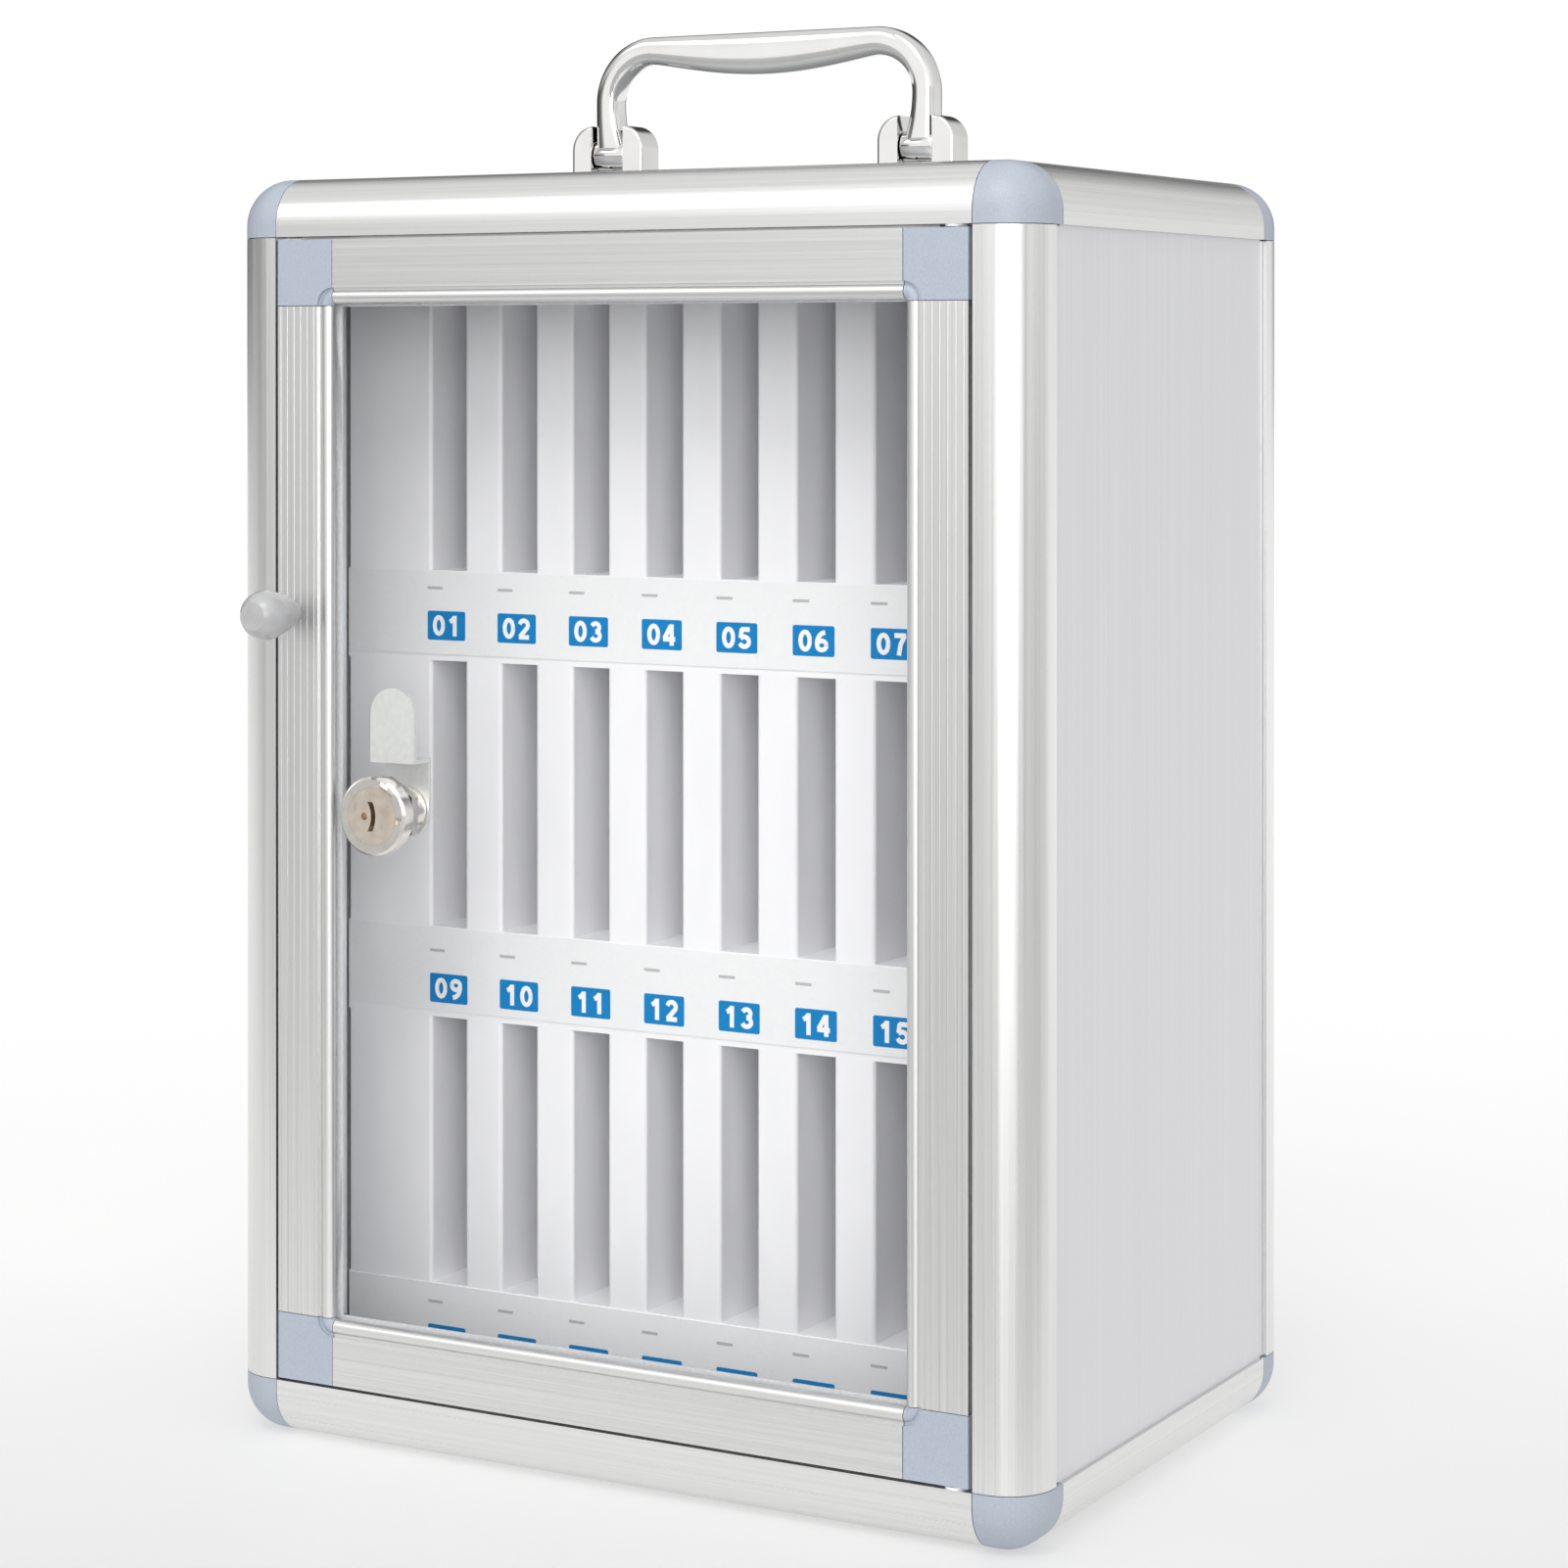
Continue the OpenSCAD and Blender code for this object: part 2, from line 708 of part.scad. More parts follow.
module bail_grip() {
    rings = [for (p = bail_line()) each bail_ring(p)];
    n = len(bail_line());
    m = ring_points;
    sides = [for (i = [0:n - 2]) for (j = [0:m - 1]) each [
        [i * m + j, (i + 1) * m + j, i * m + (j + 1) % m],
        [i * m + (j + 1) % m, (i + 1) * m + j, (i + 1) * m + (j + 1) % m]
    ]];
    start_cap = [[for (j = [0:m - 1]) j]];
    end_cap = [[for (j = [m - 1:-1:0]) (n - 1) * m + j]];
    polyhedron(points = rings, faces = concat(sides, start_cap, end_cap));
}

module handle_bail() {
    color(chrome) translate([0, 0, pin_z]) difference() {
        union() {
            bail_grip();
            for (side = [-1, 1]) {
                translate([side * leg_x, 0, 0]) rotate([0, 90, 0])
                    cylinder(r = lug_r, h = leg_w + 2 * boss, center = true, $fn = round_fn);
            }
        }
        for (side = [-1, 1]) {
            translate([side * leg_x, 0, 0]) rotate([0, 90, 0])
                cylinder(r = bail_pin_r + running_fit, h = 2 * leg_w, center = true, $fn = round_fn);
        }
    }
}

// A bracket: an arched block with a gap between its two ears for the bail's barrel
module bracket_section() {
    difference() {
        union() {
            translate([-bracket_w / 2, 0]) square([bracket_w, bracket_h - shoulder_r]);
            translate([-bracket_w / 2 + shoulder_r, 0])
                square([bracket_w - 2 * shoulder_r, bracket_h]);
            for (side = [-1, 1]) {
                translate([side * (bracket_w / 2 - shoulder_r), bracket_h - shoulder_r])
                    circle(r = shoulder_r, $fn = round_fn);
            }
        }
        translate([-ear_gap / 2, bridge_t]) square([ear_gap, bracket_h]);
    }
}

// What rounds an edge that lies at the origin: a square less the quarter circle that stays
module ease_section() {
    difference() {
        translate([-bracket_ease, -bracket_ease]) square(bracket_ease + over);
        translate([-bracket_ease, -bracket_ease]) circle(r = bracket_ease, $fn = round_fn);
    }
}

// The same, run up one side of the bracket's outline, round its shoulder and along its top
module ease_run() {
    across = bracket_w / 2 - shoulder_r;
    up = bracket_h - shoulder_r;
    translate([bracket_w / 2, up, 0]) rotate([90, 0, 0])
        linear_extrude(height = up + over) ease_section();
    translate([across, up, 0]) rotate_extrude(angle = 90, $fn = round_fn)
        translate([shoulder_r, 0]) ease_section();
    translate([0, bracket_h, 0]) rotate([90, 0, 90])
        linear_extrude(height = across) ease_section();
}

module handle_bracket(side) {
    color(chrome) translate([side * leg_x, 0, roof_z]) difference() {
        rotate([90, 0, 0]) difference() {
            linear_extrude(height = bracket_d, center = true) bracket_section();
            for (mx = [0, 1]) {
                for (mz = [0, 1]) {
                    mirror([mx, 0, 0]) mirror([0, 0, mz]) translate([0, 0, bracket_d / 2]) ease_run();
                }
            }
        }
        translate([0, 0, pin_h]) rotate([0, 90, 0])
            cylinder(r = bail_pin_r, h = bracket_w - 2 * pin_cover, center = true, $fn = round_fn);
        for (x = [-screw_x, screw_x]) {
            translate([x, 0, -over]) cylinder(r = screw_r, h = screw_depth + over, $fn = round_fn);
        }
    }
}

module handle_pins() {
    color(steel) for (side = [-1, 1]) {
        translate([side * leg_x, 0, pin_z]) rotate([0, 90, 0])
            cylinder(r = bail_pin_r, h = bracket_w - 2 * pin_cover, center = true, $fn = round_fn);
    }
}

// A round-headed screw: its head hangs below z = 0 and its shank points up
module screw(shank_r, shank_l, head_r, head_t) {
    cylinder(r = shank_r, h = shank_l, $fn = round_fn);
    translate([0, 0, -head_t]) cylinder(r1 = head_taper * head_r, r2 = head_r, h = head_t, $fn = round_fn);
}

module bracket_screws() {
    color(steel) for (x = bracket_screw_xs) {
        translate([x, 0, roof_z - panel_t]) screw(screw_r, screw_l, screw_head_r, screw_r);
    }
}

// Door: the section of its stiles and rails, x in from the outer edge and y back from the front
module member_profile() {
    flute_pitch = flat_w / flute_n;
    difference() {
        union() {
            square([flat_w, door_t]);
            translate([flat_w - over, bead_groove])
                square([groove_s - flat_w + over, door_t - bead_groove]);
            translate([flat_w - over, groove_back])
                square([member_w - flat_w + over, door_t - groove_back]);
            intersection() {
                translate([member_w - bead_r, groove_front]) circle(r = bead_r, $fn = round_fn);
                square([member_w, groove_front]);
            }
        }
        translate([-over, door_t - rebate_t]) square([rebate_w + over, rebate_t + over]);
        chamber_section(0);
        for (i = [0:flute_n - 1]) {
            translate([(i + 0.5) * flute_pitch - flute_w / 2, -over]) square([flute_w, flute_d + over]);
        }
    }
}

// The hollow of the door profile, or with a clearance the tenon that fills it
module chamber_section(inset) {
    translate([door_wall + inset, door_wall + inset])
        square([flat_w - 2 * door_wall - 2 * inset, chamber_back - door_wall - 2 * inset]);
}

module at_door(sx, sz) {
    translate([sx < 0 ? door_l : door_r, front_y, sz < 0 ? door_b : door_b + door_h])
        mirror([sx > 0 ? 1 : 0, 0, 0])
            mirror([0, 0, sz > 0 ? 1 : 0])
                children();
}

// The knob's screw goes in from the back, through a hole in the stile's rear wall
module stile(sx) {
    color(aluminium) at_door(sx, -1) difference() {
        along_z(block_w + seam, door_h - block_w - seam) member_profile();
        if (sx < 0) {
            translate([knob_in, 0, knob_z - door_b]) rotate([-90, 0, 0]) {
                translate([0, 0, -over])
                    cylinder(r = knob_screw_r + hole_fit, h = door_wall + 2 * over, $fn = round_fn);
                translate([0, 0, chamber_back - over])
                    cylinder(r = access_r, h = door_t, $fn = round_fn);
            }
        }
    }
}

module door_rail(sz) {
    color(aluminium) at_door(-1, sz)
        along_x(block_w + seam, door_w - block_w - seam) member_profile();
}

// What is cut from a corner block so that the bead and its groove turn the corner
module bead_turn() {
    difference() {
        translate([0, -over]) square([block_w - flat_w, groove_front + over]);
        translate([block_w - member_w + bead_r, groove_front]) circle(r = bead_r, $fn = round_fn);
        translate([block_w - groove_s, bead_groove]) square([groove_s, door_t]);
    }
}

module corner_block(sx, sz) {
    color(grey_plastic) at_door(sx, sz) {
        difference() {
            cube([block_w, door_t, block_w]);
            translate([-over, door_t - rebate_t, -over])
                cube([rebate_w + over, rebate_t + over, block_w + 2 * over]);
            translate([-over, door_t - rebate_t, -over])
                cube([block_w + 2 * over, rebate_t + over, rebate_w + over]);
            translate([groove_s, groove_front, groove_s])
                cube([block_w, groove_back - groove_front, block_w]);
            translate([member_w, -over, member_w]) cube([block_w, door_t + 2 * over, block_w]);
            translate([block_w, 0, block_w]) rotate([-90, 0, 0]) rotate([0, 0, 90])
                rotate_extrude(angle = 90, $fn = round_fn) bead_turn();
            if (sx > 0) {
                translate([pivot_in, pivot_back, -over])
                    cylinder(r = pivot_r, h = pivot_grip + over, $fn = round_fn);
            }
        }
        along_z(block_w - over, block_w + block_tenon) chamber_section(tenon_fit);
        along_x(block_w - over, block_w + block_tenon) chamber_section(tenon_fit);
    }
}

// The clear pane and the gasket behind it
module pane_outline(inset) {
    translate([inset, inset]) square([door_w - 2 * inset, door_h - 2 * inset]);
}

module door_pane() {
    color(clear) translate([door_l, front_y + pane_back + pane_t, door_b]) rotate([90, 0, 0])
        linear_extrude(height = pane_t) difference() {
            pane_outline(member_w - pane_bite);
            translate([lock_in, lock_z - door_b]) circle(r = barrel_r + hole_fit, $fn = round_fn);
        }
}

module door_gasket() {
    color(pale_rubber) translate([door_l, front_y + pane_back + pane_t + gasket_t, door_b])
        rotate([90, 0, 0]) linear_extrude(height = gasket_t) difference() {
            pane_outline(member_w - pane_bite);
            pane_outline(member_w + gasket_show);
        }
}

// Knob: a drop, made of its ball and its belly
module knob_section() {
    intersection() {
        translate([-belly_in * cos(belly_turn), knob_reach + belly_in * sin(belly_turn)])
            circle(r = belly_r, $fn = round_fn);
        square([knob_r, belly_top]);
    }
    intersection() {
        translate([0, knob_reach]) circle(r = knob_r, $fn = round_fn);
        translate([0, belly_top]) square([knob_r, knob_r]);
    }
}

module door_knob() {
    color(smoke) translate([knob_x, front_y, knob_z]) rotate([90, 0, 0]) difference() {
        rotate_extrude($fn = round_fn) knob_section();
        translate([0, 0, -over])
            cylinder(r = knob_screw_r, h = knob_screw_l + over, $fn = round_fn);
    }
}

module knob_screw() {
    color(steel) translate([knob_x, front_y + door_wall, knob_z]) rotate([90, 0, 0])
        screw(knob_screw_r, knob_screw_l + door_wall, knob_head_r, knob_screw_r);
}

// Hinge: pins fixed in the door's right corner blocks turn in flanged bushes in the front rails
module at_pivot(sz) {
    translate([pivot_x, pivot_y, sz < 0 ? 0 : case_h]) mirror([0, 0, sz < 0 ? 0 : 1]) children();
}

module pivot_pins() {
    pin_end = face_w - bush_l + running_fit;
    color(steel) for (sz = [-1, 1]) {
        at_pivot(sz) translate([0, 0, pin_end])
            cylinder(r = pivot_r, h = door_b + pivot_grip - pin_end, $fn = round_fn);
    }
}

module pivot_bushes() {
    color(white_plastic) for (sz = [-1, 1]) {
        at_pivot(sz) difference() {
            union() {
                translate([0, 0, face_w - bush_l]) cylinder(r = bush_r, h = bush_l, $fn = round_fn);
                translate([0, 0, face_w]) cylinder(r = bush_flange_r, h = bush_flange_t, $fn = round_fn);
            }
            translate([0, 0, face_w - bush_l - over])
                cylinder(r = pivot_r + running_fit, h = bush_l + door_gap + over, $fn = round_fn);
        }
    }
}

// Lock: placed on its axis, with z running back from the door's face
module at_lock() {
    translate([lock_x, front_y, lock_z]) rotate([-90, 0, 0]) children();
}

module lock_housing() {
    color(nickel) at_lock() difference() {
        rotate_extrude($fn = round_fn) polygon([
            [0, -flange_proud], [flange_r - bevel, -flange_proud],
            [flange_r, -flange_proud + bevel], [flange_r, pane_back],
            [barrel_r, pane_back], [barrel_r, plug_end], [0, plug_end]
        ]);
        translate([0, 0, -flange_proud - over])
            cylinder(r = plug_face_r + running_fit, h = plug_face_t + over, $fn = round_fn);
        translate([0, 0, -flange_proud - over])
            cylinder(r = plug_r + running_fit, h = flange_proud + plug_end + 2 * over, $fn = round_fn);
        for (n = spanner_slots) {
            rotate([0, 0, -n[0]]) translate([spanner_from, -n[1] / 2, -flange_proud - over])
                cube([spanner_to - spanner_from, n[1], over + spanner_depth]);
        }
    }
}

module lock_nut() {
    color(nickel) at_lock() translate([0, 0, pane_back + pane_t]) difference() {
        rotate([0, 0, nut_turn]) cylinder(r = nut_af / sqrt(3), h = nut_t, $fn = 6);
        translate([0, 0, -over]) cylinder(r = barrel_r, h = nut_t + 2 * over, $fn = round_fn);
    }
}

// The plug with its bowed keyway and the square that drives the cam
module keyway() {
    intersection() {
        translate([keyway_bow / 2 - keyway_r, 0]) difference() {
            circle(r = keyway_r + keyway_w / 2, $fn = round_fn);
            circle(r = keyway_r - keyway_w / 2, $fn = round_fn);
        }
        translate([-plug_r, -keyway_h / 2]) square([2 * plug_r, keyway_h]);
    }
}

module lock_plug() {
    color(nickel) at_lock() difference() {
        union() {
            translate([0, 0, -flange_proud])
                cylinder(r = plug_face_r, h = plug_face_t - running_fit, $fn = round_fn);
            translate([0, 0, -flange_proud])
                cylinder(r = plug_r, h = flange_proud + plug_end + running_fit, $fn = round_fn);
            translate([-square_w / 2, -square_w / 2, plug_end - over])
                cube([square_w, square_w, over + cam_clear + cam_t - running_fit]);
        }
        translate([0, 0, -flange_proud - over])
            linear_extrude(height = keyway_depth + over) keyway();
        translate([-dot_x, 0, -flange_proud - over])
            cylinder(r = dot_r, h = dot_depth + over, $fn = round_fn);
        translate([0, 0, cam_v + cam_t - cam_screw_l])
            cylinder(r = cam_screw_r, h = cam_screw_l + over, $fn = round_fn);
    }
}

// The cam stands up, clear of the frame, and is cranked forwards to pass behind the stop lip
module lock_cam() {
    tab_end = cam_reach - tip_r;
    color(steel) translate([lock_x, front_y, lock_z]) difference() {
        union() {
            translate([0, cam_v + cam_t, 0]) rotate([90, 0, 0])
                linear_extrude(height = cam_t) {
                    circle(r = tip_r, $fn = round_fn);
                    translate([-cam_w / 2, 0]) square([cam_w, crank_in + cam_t]);
                }
            translate([-cam_w / 2, tab_v, crank_in]) cube([cam_w, cam_v + cam_t - tab_v, cam_t]);
            translate([0, tab_v + cam_t, 0]) rotate([90, 0, 0])
                linear_extrude(height = cam_t) {
                    translate([0, tab_end]) circle(r = tip_r, $fn = round_fn);
                    translate([-cam_w / 2, crank_in]) square([cam_w, tab_end - crank_in]);
                }
        }
        square_hole = square_w + 2 * square_fit;
        translate([-square_hole / 2, cam_v - over, -square_hole / 2])
            cube([square_hole, cam_t + 2 * over, square_hole]);
    }
}

module cam_screw() {
    color(steel) at_lock() translate([0, 0, cam_v + cam_t]) rotate([180, 0, 0])
        screw(cam_screw_r, cam_screw_l, cam_head_r, cam_screw_r);
}

post_front(-1);  // post_front_left
post_front(1);  // post_front_right
post_rear(-1);  // post_rear_left
post_rear(1);  // post_rear_right
rail_front(1);  // rail_front_top
rail_front(-1);  // rail_front_bottom
rail_rear(1);  // rail_rear_top
rail_rear(-1);  // rail_rear_bottom
rail_side(-1, 1);  // rail_left_top
rail_side(-1, -1);  // rail_left_bottom
rail_side(1, 1);  // rail_right_top
rail_side(1, -1);  // rail_right_bottom
cap_front(-1, 1);  // cap_front_left_top
cap_front(-1, -1);  // cap_front_left_bottom
cap_front(1, 1);  // cap_front_right_top
cap_front(1, -1);  // cap_front_right_bottom
cap_rear(-1, 1);  // cap_rear_left_top
cap_rear(-1, -1);  // cap_rear_left_bottom
cap_rear(1, 1);  // cap_rear_right_top
cap_rear(1, -1);  // cap_rear_right_bottom
panel_side(-1);  // panel_left
panel_side(1);  // panel_right
panel_back();
panel_top();
panel_bottom();
rack_plinth();
rack_tier(1);  // rack_tier_1
rack_tier(2);  // rack_tier_2
rack_tier(3);  // rack_tier_3
label_strip(1);  // label_strip_1
label_strip(2);  // label_strip_2
label_strip(3);  // label_strip_3
handle_bail();
handle_bracket(-1);  // handle_bracket_left
handle_bracket(1);  // handle_bracket_right
handle_pins();
bracket_screws();
stile(-1);  // door_stile_left
stile(1);  // door_stile_right
door_rail(1);  // door_rail_top
door_rail(-1);  // door_rail_bottom
corner_block(-1, 1);  // door_corner_left_top
corner_block(-1, -1);  // door_corner_left_bottom
corner_block(1, 1);  // door_corner_right_top
corner_block(1, -1);  // door_corner_right_bottom
door_pane();
door_gasket();
door_knob();
knob_screw();
pivot_pins();
pivot_bushes();
lock_housing();
lock_nut();
lock_plug();
lock_cam();
cam_screw();
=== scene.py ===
import math

import bmesh
import bpy
from mathutils import Matrix, Vector


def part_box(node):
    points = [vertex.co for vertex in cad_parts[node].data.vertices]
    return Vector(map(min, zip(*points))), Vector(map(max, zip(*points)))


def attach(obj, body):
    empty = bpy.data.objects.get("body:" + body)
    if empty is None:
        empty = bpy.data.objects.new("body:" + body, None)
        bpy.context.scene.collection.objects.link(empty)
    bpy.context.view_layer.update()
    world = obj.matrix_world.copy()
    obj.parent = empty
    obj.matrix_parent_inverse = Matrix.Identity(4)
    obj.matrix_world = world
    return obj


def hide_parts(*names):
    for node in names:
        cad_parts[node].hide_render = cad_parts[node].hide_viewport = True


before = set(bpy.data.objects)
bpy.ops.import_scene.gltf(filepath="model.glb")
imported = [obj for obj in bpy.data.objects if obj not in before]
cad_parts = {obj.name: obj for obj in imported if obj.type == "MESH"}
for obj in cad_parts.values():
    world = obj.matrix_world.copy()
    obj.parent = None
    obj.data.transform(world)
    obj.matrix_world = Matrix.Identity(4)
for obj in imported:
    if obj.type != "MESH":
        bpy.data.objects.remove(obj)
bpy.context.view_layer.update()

# Posts and rails. Each is a length of rounded aluminium extrusion, cut square and
# pushed onto the tenons of the corner caps. The metal is satin anodised, and the
# die has left faint lines along it, so each direction of run has a finish of its own.
POST_NODES = ["post_front_left", "post_front_right", "post_rear_left", "post_rear_right"]
CROSS_RAIL_NODES = ["rail_front_top", "rail_front_bottom", "rail_rear_top", "rail_rear_bottom"]
SIDE_RAIL_NODES = ["rail_left_top", "rail_left_bottom", "rail_right_top", "rail_right_bottom"]
# Most of the noise that every finish is made of lies between these two values
NOISE_LOW = 0.3
NOISE_HIGH = 0.7


def new_finish(name, colour, roughness, metallic=0.0):
    finish = bpy.data.materials.new(name)
    finish.use_nodes = True
    skin = finish.node_tree.nodes["Principled BSDF"]
    skin.inputs["Base Color"].default_value = (*colour, 1.0)
    skin.inputs["Roughness"].default_value = roughness
    skin.inputs["Metallic"].default_value = metallic
    return finish, finish.node_tree, skin


def grain(tree, per_metre, detail=3.0):
    """Noise in the part's own metres, with its own number of grains a metre on each axis."""
    place = tree.nodes.new("ShaderNodeTexCoord")
    stretch = tree.nodes.new("ShaderNodeMapping")
    stretch.inputs["Scale"].default_value = per_metre
    noise = tree.nodes.new("ShaderNodeTexNoise")
    noise.inputs["Scale"].default_value = 1.0
    noise.inputs["Detail"].default_value = detail
    tree.links.new(place.outputs["Object"], stretch.inputs["Vector"])
    tree.links.new(stretch.outputs["Vector"], noise.inputs["Vector"])
    return noise.outputs["Fac"]


def vary_roughness(tree, skin, source, low, high):
    span = tree.nodes.new("ShaderNodeMapRange")
    span.inputs["From Min"].default_value = NOISE_LOW
    span.inputs["From Max"].default_value = NOISE_HIGH
    span.inputs["To Min"].default_value = low
    span.inputs["To Max"].default_value = high
    tree.links.new(source, span.inputs["Value"])
    tree.links.new(span.outputs["Result"], skin.inputs["Roughness"])


def vary_colour(tree, skin, source, dark, light):
    ramp = tree.nodes.new("ShaderNodeValToRGB")
    ramp.color_ramp.elements[0].position = NOISE_LOW
    ramp.color_ramp.elements[0].color = (*dark, 1.0)
    ramp.color_ramp.elements[1].position = NOISE_HIGH
    ramp.color_ramp.elements[1].color = (*light, 1.0)
    tree.links.new(source, ramp.inputs["Fac"])
    tree.links.new(ramp.outputs["Color"], skin.inputs["Base Color"])


def raise_grain(tree, skin, source, height, strength=1.0):
    bump = tree.nodes.new("ShaderNodeBump")
    bump.inputs["Distance"].default_value = height
    bump.inputs["Strength"].default_value = strength
    tree.links.new(source, bump.inputs["Height"])
    tree.links.new(bump.outputs["Normal"], skin.inputs["Normal"])


def dress(finish, *nodes):
    for name in nodes:
        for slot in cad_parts[name].material_slots:
            slot.material = finish


def anodised(name, per_metre):
    finish, tree, skin = new_finish(name, (0.80, 0.80, 0.79), 0.30, 1.0)
    lines = grain(tree, per_metre)
    vary_colour(tree, skin, lines, (0.76, 0.76, 0.755), (0.84, 0.84, 0.83))
    vary_roughness(tree, skin, lines, 0.26, 0.36)
    raise_grain(tree, skin, lines, 0.00001, 0.4)
    return finish


dress(anodised("anodised_upright", (900, 900, 3)), *POST_NODES)
dress(anodised("anodised_across", (3, 900, 900)), *CROSS_RAIL_NODES)
dress(anodised("anodised_front_to_back", (900, 3, 900)), *SIDE_RAIL_NODES)

# Corner caps. Moulded in grey plastic with a fine pearly texture. Each has three
# tenons, which are pushed into the ends of the extrusions that meet there.
CAP_GREY = (0.34, 0.38, 0.44)
CAP_LIGHT = (0.39, 0.43, 0.49)

cap_finish, tree, skin = new_finish("cap_plastic", CAP_GREY, 0.42)
specks = grain(tree, (1400, 1400, 1400), 2.0)
vary_colour(tree, skin, specks, CAP_GREY, CAP_LIGHT)
vary_roughness(tree, skin, specks, 0.38, 0.48)
raise_grain(tree, skin, specks, 0.00003, 0.35)
dress(cap_finish, *[f"cap_{end}_{side}_{level}" for end in ("front", "rear")
                    for side in ("left", "right") for level in ("top", "bottom")])

# Panels. Thin aluminium-faced sheets slide into the slots of the extrusions before
# the caps close the frame. Sides and back are brushed upright, top and bottom plain.
brushed, tree, skin = new_finish("brushed_sheet", (0.68, 0.68, 0.695), 0.45, 0.4)
lines = grain(tree, (1300, 1300, 1.5), 4.0)
vary_colour(tree, skin, lines, (0.65, 0.65, 0.67), (0.71, 0.71, 0.725))
vary_roughness(tree, skin, lines, 0.42, 0.52)
raise_grain(tree, skin, lines, 0.00001, 0.5)
dress(brushed, "panel_left", "panel_right", "panel_back")

plain_sheet, tree, skin = new_finish("plain_sheet", (0.42, 0.43, 0.44), 0.42, 0.7)
mottle = grain(tree, (220, 220, 220), 4.0)
vary_colour(tree, skin, mottle, (0.40, 0.41, 0.42), (0.45, 0.46, 0.47))
vary_roughness(tree, skin, mottle, 0.38, 0.48)
raise_grain(tree, skin, mottle, 0.00002, 0.3)
dress(plain_sheet, "panel_top", "panel_bottom")

# Rack. Three white mouldings stand on each other on a shallow plinth. Each has a
# row of ribs with rounded fronts, and a pocket for one phone between every two.
rack_white, tree, skin = new_finish("rack_white", (0.915, 0.915, 0.935), 0.45)
flow = grain(tree, (90, 90, 30), 5.0)
vary_colour(tree, skin, flow, (0.90, 0.90, 0.92), (0.93, 0.93, 0.95))
vary_roughness(tree, skin, flow, 0.40, 0.52)
raise_grain(tree, skin, grain(tree, (2500, 2500, 2500), 2.0), 0.00002, 0.25)
dress(rack_white, "rack_plinth", "rack_tier_1", "rack_tier_2", "rack_tier_3")

# Label strips. A printed white card under each row of slots, with a blue square
# that carries the slot's number and a short grey dash above it.
SLOT_PITCH = 0.0328
SLOTS_IN_ROW = 8
SQUARE_W = 0.0177
SQUARE_H = 0.0114
SQUARE_EASE = 0.0008
SQUARE_DROP = 0.0212
SQUARE_SHIFT = -0.0005
PRINT_SHIFT = {1: (0.0, 0.0), 2: (0.0010, 0.0024), 3: (0.0, 0.0006)}
DASH_W = 0.0070
DASH_H = 0.0011
DASH_EASE = 0.0003
DASH_DROP = 0.0065
CORNER_STEPS = 4
INK = 0.0001
INK_SHEEN = 0.12
DIGIT_H = 0.0081
DIGIT_BOX_W = 0.66
DIGIT_WIDEN = 1.15
DIGIT_STEP = 0.0070
STROKE = 0.0018
# Each stroke of a digit lies a fifth of the ink's thickness above the one before
LAYERS_IN_INK = 5

card, tree, skin = new_finish("label_card", (0.87, 0.88, 0.885), 0.40)
fibre = grain(tree, (700, 700, 700), 4.0)
vary_colour(tree, skin, fibre, (0.85, 0.86, 0.865), (0.89, 0.90, 0.905))
vary_roughness(tree, skin, fibre, 0.36, 0.46)
raise_grain(tree, skin, fibre, 0.00001, 0.3)
dress(card, "label_strip_1", "label_strip_2", "label_strip_3")


def print_ink(name, dark, light):
    ink, tree, skin = new_finish(name, dark, 0.4)
    skin.inputs["Specular IOR Level"].default_value = INK_SHEEN
    dots = grain(tree, (3000, 3000, 3000), 2.0)
    vary_colour(tree, skin, dots, dark, light)
    vary_roughness(tree, skin, dots, 0.34, 0.46)
    return ink


blue_ink = print_ink("blue_ink", (0.001, 0.20, 0.52), (0.002, 0.24, 0.58))
white_ink = print_ink("white_ink", (0.90, 0.90, 0.90), (0.96, 0.96, 0.96))
grey_ink = print_ink("grey_ink", (0.46, 0.47, 0.48), (0.54, 0.55, 0.56))


def add_plate(shape, x, z, width, height, face_y, radius):
    """A flat inked patch with rounded corners, standing one film of ink off the card."""
    rim = []
    for turn, (sx, sz) in enumerate([(1, 1), (-1, 1), (-1, -1), (1, -1)]):
        for step in range(CORNER_STEPS + 1):
            angle = math.radians(90 * turn + 90 / CORNER_STEPS * step)
            rim.append((x + sx * (width / 2 - radius) + radius * math.cos(angle),
                        z + sz * (height / 2 - radius) + radius * math.sin(angle)))
    front = [shape.verts.new((px, face_y - INK, pz)) for px, pz in rim]
    back = [shape.verts.new((px, face_y, pz)) for px, pz in rim]
    shape.faces.new(front)
    shape.faces.new(back[::-1])
    for i in range(len(rim)):
        j = (i + 1) % len(rim)
        shape.faces.new([front[j], front[i], back[i], back[j]])


def finish_piece(name, shape, finish, body):
    mesh = bpy.data.meshes.new(name)
    bmesh.ops.recalc_face_normals(shape, faces=shape.faces)
    shape.to_mesh(mesh)
    shape.free()
    mesh.materials.append(finish)
    piece = bpy.data.objects.new(name, mesh)
    bpy.context.scene.collection.objects.link(piece)
    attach(piece, body)
    return piece


def arc(cx, cy, rx, ry, start, end, steps=10):
    turns = [math.radians(start + (end - start) * i / steps) for i in range(steps + 1)]
    return [(cx + rx * math.cos(t), cy + ry * math.sin(t)) for t in turns]


